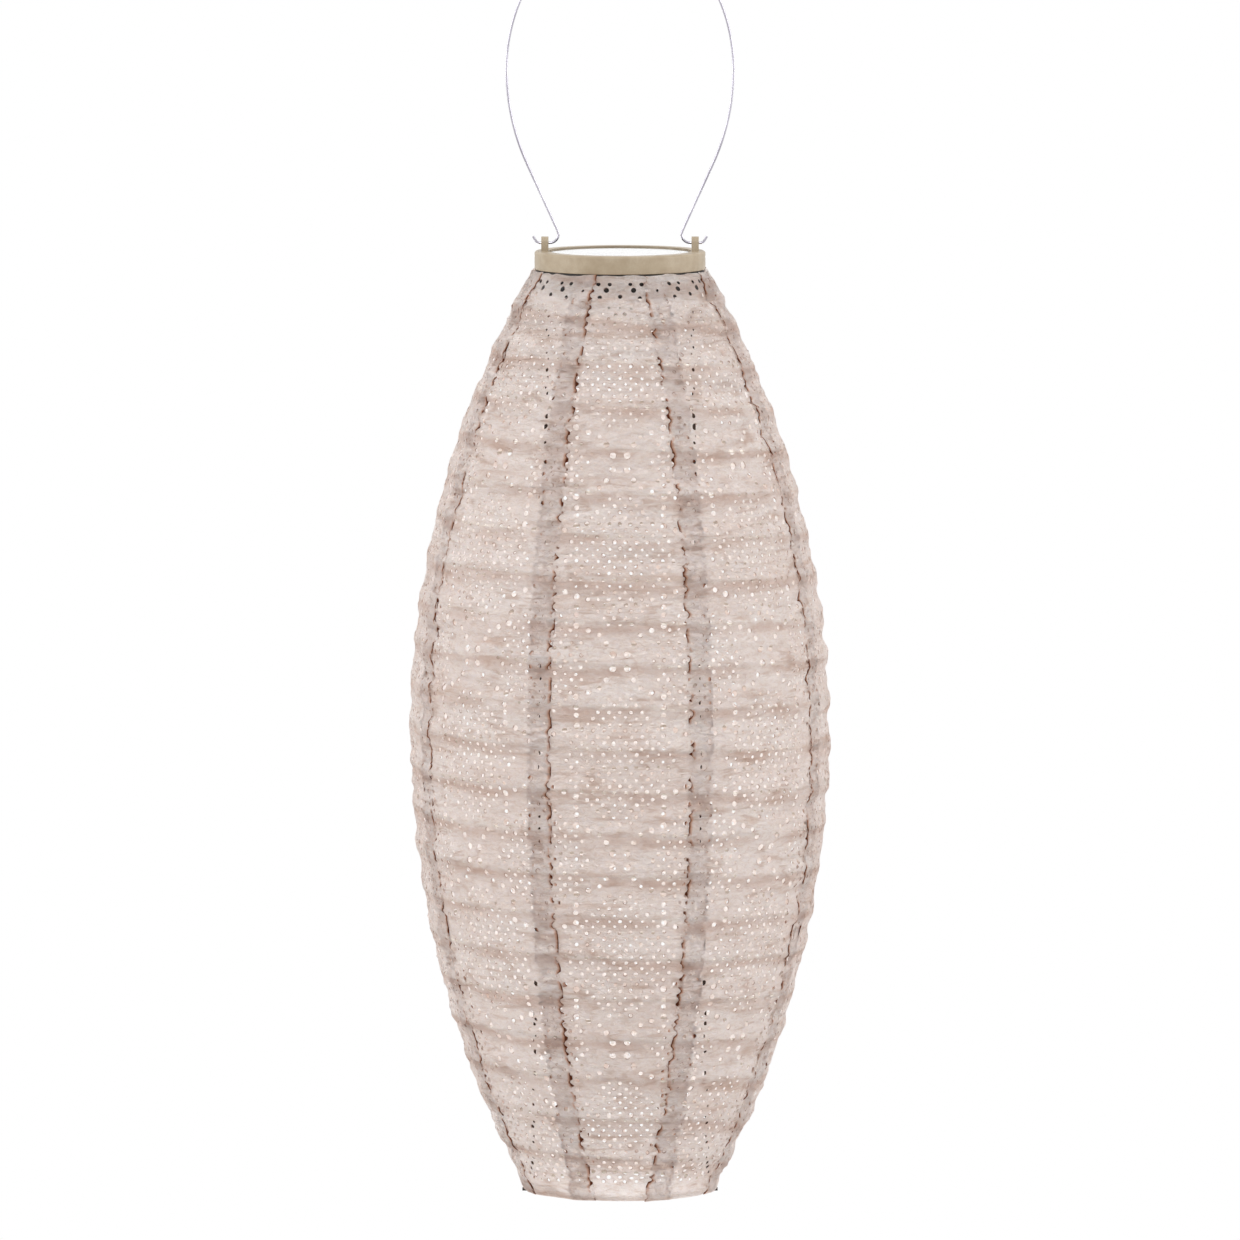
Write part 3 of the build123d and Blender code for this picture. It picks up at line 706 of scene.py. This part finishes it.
# Colours of the cloth
WARM = (0.92, 0.868, 0.835)
PALE = (0.96, 0.94, 0.92)
# partly the felt's own tone, partly a painted highlight on the raised matted tufts
LILAC_TONE_AND_HIGHLIGHT = (0.93, 0.905, 0.92)
# painted shade in the crepe's hollows
CREPE_SHADE_BEIGE = (0.76, 0.655, 0.59)
FIBRE_BEIGE = (0.86, 0.79, 0.735)
# painted shade in the low creases
CREASE_SHADE_BROWN = (0.66, 0.51, 0.42)
# painted shade in the thin fold grooves
FOLD_SHADE_BROWN = (0.58, 0.42, 0.33)
# painted shade where the cloth faces down under each turn
UNDER_RIB_SHADE_BROWN = (0.66, 0.50, 0.42)
HALO_BROWN = (0.66, 0.33, 0.15)
SINGED_BROWN = (0.17, 0.042, 0.014)
# hole rims: partly singed, partly painted shade in crescents
RIM_SINGE_AND_SHADE_BROWN = (0.34, 0.16, 0.09)
SEE_THROUGH = 0.78  # the share of light that goes through the cloth instead of off it


def fabric():
    """Perforated non-woven: pale pinkish beige felted fibres with creases, brown where it was cut,
    that let much of the light through. Painted shade darkens its creases, folds, crepe hollows and
    the cloth under each turn of the spiral, and partly its hole rims; its matted tufts carry a
    painted lilac highlight besides their own tone."""
    n = Nodes("shade_fabric")
    fibre = n.noise(1900.0, 5.0, (1.0, 1.0, 0.45), 0.62, 0.9)
    matted = n.noise(420.0, 5.0, (1.0, 1.0, 1.9), 0.6, 0.5)
    cloud = n.noise(34.0, 4.0, (1.0, 1.0, 1.7))
    crepe = n.noise(330.0, 5.0, (0.9, 0.9, 1.9), 0.68, 1.1)
    crease = n.noise(52.0, 6.0, (0.55, 0.55, 3.6), 0.62, 0.35)

    # Soft colours of the felt, with lilac on its raised matted tufts: partly the felt's own tone,
    # partly a painted highlight
    colour = n.mix(n.ramp(cloud, 0.33, 0.68), WARM, PALE)
    colour = n.mix(n.part(n.ramp(matted, 0.42, 0.62), 0.6), colour, LILAC_TONE_AND_HIGHLIGHT)

    # Painted shade in the creases, the folds, the crepe's hollows and the fold under each turn of
    # the spiral, and the fibres' own colour
    colour = n.mix(n.part(n.ramp(crease, 0.30, 0.44, 1.0, 0.0), 0.5), colour, CREASE_SHADE_BROWN)
    # Painted shade along thin fold lines, which the relief below sinks into grooves
    folds = n.noise(60.0, 3.0, (0.45, 0.45, 2.6), 0.5, 0.25)
    fold = n.math("ABSOLUTE", n.math("SUBTRACT", folds, 0.5), 0.0)
    fold = n.ramp(fold, 0.0, 0.045, 1.0, 0.0)
    fold = n.part(fold, n.ramp(n.noise(95.0, 2.0), 0.5, 0.62))
    colour = n.mix(n.part(fold, 0.42), colour, FOLD_SHADE_BROWN)
    # Painted shade in the crepe's hollows, where the relief below sinks
    colour = n.mix(n.part(n.ramp(crepe, 0.47, 0.66), 0.5), colour, CREPE_SHADE_BEIGE)
    # Painted shade under each turn of the spiral, where the cloth faces down, broken into patches
    under = n.attribute("painted_rib_shade")
    patchy_rib_shade = n.part(under, n.ramp(n.noise(60.0, 4.0, (0.6, 0.6, 2.0)), 0.35, 0.6))
    colour = n.mix(n.part(patchy_rib_shade, 0.42), colour, UNDER_RIB_SHADE_BROWN)
    colour = n.mix(n.part(n.ramp(fibre, 0.5, 0.7), 0.35), colour, FIBRE_BEIGE)

    # Browned cut edges, and hole rims browned in patches that are partly singed and partly painted
    # shade
    from_edge = n.attribute("from_edge")
    patchy = n.ramp(n.noise(210.0, 2.0), 0.44, 0.56)
    halo = n.part(n.ramp(from_edge, 0.5, 1.9, 0.75, 0.0), patchy)
    colour = n.mix(halo, colour, HALO_BROWN)
    singed = n.part(n.ramp(from_edge, 0.1, 0.75, 1.0, 0.0), patchy)
    colour = n.mix(n.part(singed, 0.95), colour, SINGED_BROWN)
    # Hole rims browned in patchy crescents: partly singed, partly painted shade
    browned = n.part(n.attribute("rim"), n.ramp(n.noise(420.0, 2.0), 0.52, 0.64, 0.04, 0.75))
    colour = n.mix(browned, colour, RIM_SINGE_AND_SHADE_BROWN)
    n.join(colour, n.shader.inputs["Base Color"])
    n.join(n.ramp(matted, 0.3, 0.7, 0.72, 0.92), n.shader.inputs["Roughness"])
    n.shader.inputs["Specular IOR Level"].default_value = 0.25

    # Relief, from the coarsest to the finest
    relief = n.bump(crease, 2.0 * MM, 1.0)
    relief = n.bump(n.math("SUBTRACT", 1.0, fold), 0.35 * MM, 0.6, relief)
    relief = n.bump(n.math("SUBTRACT", 1.0, crepe), 1.2 * MM, 1.0, relief)
    relief = n.bump(matted, 0.22 * MM, 0.6, relief)
    relief = n.bump(fibre, 0.07 * MM, 0.6, relief)
    n.join(relief, n.shader.inputs["Normal"])

    # The light that comes through
    glow = n.add("ShaderNodeBsdfTranslucent")
    n.join(colour, glow.inputs["Color"])
    n.join(relief, glow.inputs["Normal"])
    both = n.add("ShaderNodeMixShader", Fac=SEE_THROUGH)
    n.join(n.shader.outputs["BSDF"], both.inputs[1])
    n.join(glow.outputs["BSDF"], both.inputs[2])
    n.join(both.outputs["Shader"], n.tree.nodes["Material Output"].inputs["Surface"])
    return n.material


def clear_window():
    """Clear moulded plastic with faint swirls and dust."""
    n = Nodes("clear_window")
    dust = n.noise(900.0, 6.0)
    swirl = n.noise(45.0, 3.0)
    n.join(n.ramp(dust, 0.4, 0.75, 0.04, 0.22), n.shader.inputs["Roughness"])
    tint = n.mix(n.ramp(swirl, 0.3, 0.7), (0.90, 0.91, 0.93), (0.97, 0.97, 0.98))
    n.join(tint, n.shader.inputs["Base Color"])
    n.join(n.bump(swirl, 0.15 * MM), n.shader.inputs["Normal"])
    n.shader.inputs["Transmission Weight"].default_value = 1.0
    n.shader.inputs["IOR"].default_value = 1.5
    n.shader.inputs["Coat Weight"].default_value = 0.5
    return n.material


def silicon():
    """Dark blue cells with fine printed fingers across them."""
    n = Nodes("solar_silicon")
    grain = n.noise(300.0, 4.0)
    fingers = n.add("ShaderNodeTexWave", wave_type="BANDS", bands_direction="Y")
    fingers.inputs["Scale"].default_value = 190.0
    n.join(n.place, fingers.inputs["Vector"])
    line = n.ramp(fingers.outputs["Fac"], 0.93, 0.98)
    colour = n.mix(n.ramp(grain, 0.3, 0.7), (0.006, 0.012, 0.045), (0.015, 0.03, 0.09))
    colour = n.mix(line, colour, (0.45, 0.47, 0.5))
    n.join(colour, n.shader.inputs["Base Color"])
    n.join(n.ramp(grain, 0.3, 0.7, 0.12, 0.3), n.shader.inputs["Roughness"])
    n.join(n.bump(grain, 0.02 * MM), n.shader.inputs["Normal"])
    n.shader.inputs["Coat Weight"].default_value = 0.6
    return n.material


def frosted():
    """Milky plastic that scatters the lamp's light."""
    n = Nodes("frosted_plastic")
    grain = n.noise(1400.0, 5.0)
    colour = n.mix(n.ramp(grain, 0.3, 0.7), (0.80, 0.80, 0.77), (0.92, 0.92, 0.89))
    n.join(colour, n.shader.inputs["Base Color"])
    n.join(n.ramp(grain, 0.3, 0.7, 0.45, 0.65), n.shader.inputs["Roughness"])
    n.join(n.bump(grain, 0.05 * MM), n.shader.inputs["Normal"])
    n.shader.inputs["Transmission Weight"].default_value = 0.5
    n.shader.inputs["IOR"].default_value = 1.45
    return n.material


def finishes():
    """Every material slot of the record but the shade's fabric, with its Blender material."""
    return {
        "steel_wire": finish(
            "steel_wire", (0.30, 0.28, 0.32), (0.62, 0.60, 0.66), 900.0, (0.16, 0.34),
            0.02 * MM, (1, 1, 0.2), metallic=1.0,
        ),
        "cap_plastic": finish(
            "cap_plastic", (0.27, 0.21, 0.14), (0.34, 0.28, 0.20), 1500.0, (0.36, 0.5),
            0.02 * MM, shine=0.25,
        ),
        "clear_window": clear_window(),
        "seal_rubber": finish(
            "seal_rubber", (0.012, 0.012, 0.012), (0.03, 0.03, 0.03), 1200.0, (0.7, 0.9), 0.04 * MM
        ),
        "panel_board": finish(
            "panel_board", (0.008, 0.010, 0.018), (0.02, 0.024, 0.04), 700.0, (0.25, 0.4), 0.02 * MM
        ),
        "solar_silicon": silicon(),
        "dark_plastic": finish(
            "dark_plastic", (0.007, 0.007, 0.007), (0.02, 0.019, 0.018), 2200.0, (0.42, 0.62),
            0.05 * MM,
        ),
        "screw_steel": finish(
            "screw_steel", (0.33, 0.33, 0.34), (0.50, 0.485, 0.50), 2600.0, (0.25, 0.5),
            0.02 * MM, metallic=1.0,
        ),
        "circuit_green": finish(
            "circuit_green", (0.006, 0.07, 0.02), (0.015, 0.12, 0.04), 600.0, (0.25, 0.4), 0.03 * MM
        ),
        "component_black": finish(
            "component_black", (0.01, 0.01, 0.01), (0.03, 0.03, 0.03), 2500.0, (0.5, 0.7), 0.03 * MM
        ),
        "led_resin": finish(
            "led_resin", (0.75, 0.60, 0.22), (0.88, 0.80, 0.52), 800.0, (0.1, 0.2), 0.02 * MM,
            coat=0.5,
        ),
        "frosted_plastic": frosted(),
        "cell_sleeve": finish(
            "cell_sleeve", (0.03, 0.09, 0.18), (0.05, 0.14, 0.26), 500.0, (0.2, 0.32), 0.02 * MM,
            coat=0.3,
        ),
        "contact_nickel": finish(
            "contact_nickel", (0.42, 0.41, 0.38), (0.60, 0.59, 0.55), 1800.0, (0.25, 0.45),
            0.02 * MM, (1, 1, 0.3), metallic=1.0,
        ),
        "knob_plastic": finish(
            "knob_plastic", (0.42, 0.42, 0.40), (0.55, 0.55, 0.52), 2400.0, (0.45, 0.6), 0.03 * MM
        ),
        "lead_insulation": finish(
            "lead_insulation", (0.20, 0.010, 0.008), (0.36, 0.02, 0.015), 1500.0, (0.35, 0.5),
            0.02 * MM,
        ),
        "ring_wire": finish(
            "ring_wire", (0.52, 0.45, 0.37), (0.68, 0.62, 0.54), 1300.0, (0.4, 0.6), 0.03 * MM
        ),
        "rib_wire": finish(
            "rib_wire", (0.60, 0.54, 0.47), (0.74, 0.69, 0.62), 1300.0, (0.4, 0.6), 0.03 * MM
        ),
        "leg_wire": finish(
            "leg_wire", (0.018, 0.010, 0.006), (0.07, 0.038, 0.02), 1100.0, (0.35, 0.55), 0.03 * MM
        ),
    }


FRAME_SHARP = math.radians(32)


def dress_frame(materials):
    """Gives each CAD node but the fabric gores and the spiral rib its slot's material and smooth
    shading that keeps its sharp edges.
    """
    for part in record["subparts"]:
        slot = part["material_slot"]
        if slot == "shade_fabric" or part["node"] == "spiral_rib":
            continue
        piece = frame["nodes"][part["node"]]
        piece.data.materials.clear()
        piece.data.materials.append(materials[slot])
        custom = piece.data.attributes.get("custom_normal")
        if custom is not None:
            piece.data.attributes.remove(custom)
        piece.data.shade_smooth()
        piece.data.set_sharp_from_angle(angle=FRAME_SHARP)


# ---------------------------------------------------------------- stage, lights and camera

CAMERA_DISTANCE = 6.0
CAMERA_ELEVATION = math.radians(5.68)
CAMERA_AIM = Vector((0.0, 0.0, -0.3296))
FIELD = 0.5892  # metres across the picture at the lantern
FLOOR_Z = -7.0
FLOOR_REACH = 2.4
LIGHTS = [  # name, place, size in metres, power in watts and colour
    ("left", (-2.4, -0.4, 0.3), 1.4, 27.0, (0.96, 0.98, 1.0)),
    ("right", (2.4, -0.4, 0.3), 1.4, 29.0, (0.97, 0.98, 1.0)),
    ("top", (-0.2, -1.8, 1.4), 0.7, 18.0, (0.98, 0.98, 1.0)),
    ("back", (0.0, 2.6, -0.9), 1.0, 46.0, (0.96, 0.98, 1.0)),
]


def build_stage():
    """A pale floor, so far under the hanging lantern that it can be looked at from below too."""
    mesh = bpy.data.meshes.new("floor")
    corners = [(x * FLOOR_REACH, y * FLOOR_REACH, FLOOR_Z) for x, y in
               ((-1, -1), (1, -1), (1, 1), (-1, 1))]
    mesh.from_pydata(corners, [], [(0, 1, 2, 3)])
    floor = link("floor", mesh)
    n = Nodes("floor")
    colour = n.mix(n.ramp(n.noise(0.6, 3.0), 0.3, 0.7), (0.80, 0.80, 0.80), (0.84, 0.84, 0.84))
    n.join(colour, n.shader.inputs["Base Color"])
    n.shader.inputs["Roughness"].default_value = 0.9
    mesh.materials.append(n.material)


def area_light(name, place, size, power, colour):
    """A soft square light, turned to the widest place of the shade."""
    light = bpy.data.lights.new(name, "AREA")
    light.shape = "SQUARE"
    light.size = size
    light.energy = power
    light.color = colour
    lamp = bpy.data.objects.new(name, light)
    bpy.context.scene.collection.objects.link(lamp)
    lamp.location = place
    ahead = Vector((0.0, 0.0, WIDEST_Z)) - Vector(place)
    lamp.rotation_euler = ahead.to_track_quat("-Z", "Y").to_euler()


def build_world():
    """An even white studio, a little brighter behind the lantern and above it. The camera's own
    rays see plain white."""
    world = bpy.data.worlds.new("studio")
    bpy.context.scene.world = world
    world.use_nodes = True
    tree = world.node_tree
    direction = tree.nodes.new("ShaderNodeSeparateXYZ")
    coordinates = tree.nodes.new("ShaderNodeTexCoord")
    tree.links.new(coordinates.outputs["Generated"], direction.inputs[0])

    def part(axis, low, high, to_low, to_high):
        node = tree.nodes.new("ShaderNodeMapRange")
        node.interpolation_type = "SMOOTHSTEP"
        set_range(node, low, high, to_low, to_high)
        tree.links.new(direction.outputs[axis], node.inputs["Value"])
        return node.outputs["Result"]

    total = tree.nodes.new("ShaderNodeMath")
    tree.links.new(part("Y", -0.7, 0.8, 1.02, 1.2), total.inputs[0])
    tree.links.new(part("Z", 0.1, 1.0, 0.0, 0.15), total.inputs[1])
    seen = tree.nodes.new("ShaderNodeLightPath").outputs["Is Camera Ray"]
    strength = tree.nodes.new("ShaderNodeMix")
    tree.links.new(seen, strength.inputs["Factor"])
    tree.links.new(total.outputs["Value"], strength.inputs["A"])
    strength.inputs["B"].default_value = 1.0
    background = tree.nodes["Background"]
    background.inputs["Color"].default_value = (1.0, 1.0, 1.0, 1.0)
    tree.links.new(strength.outputs["Result"], background.inputs["Strength"])


def build_camera():
    """The photograph's viewing angle: from the front, slightly above."""
    data = bpy.data.cameras.new("camera")
    camera = bpy.data.objects.new("camera", data)
    bpy.context.scene.collection.objects.link(camera)
    back = Vector((0.0, -math.cos(CAMERA_ELEVATION), math.sin(CAMERA_ELEVATION)))
    camera.location = CAMERA_AIM + back * CAMERA_DISTANCE
    camera.rotation_euler = (-back).to_track_quat("-Z", "Y").to_euler()
    data.lens = data.sensor_width / 2 / (FIELD / 2 / CAMERA_DISTANCE)
    data.clip_start = 0.1
    data.clip_end = 200.0
    bpy.context.scene.camera = camera


materials = finishes()
dress_frame(materials)
build_gores(fabric())
build_rib(materials["rib_wire"])
build_stage()
build_world()
for light in LIGHTS:
    area_light(*light)
build_camera()
bpy.context.scene.view_settings.view_transform = "Standard"
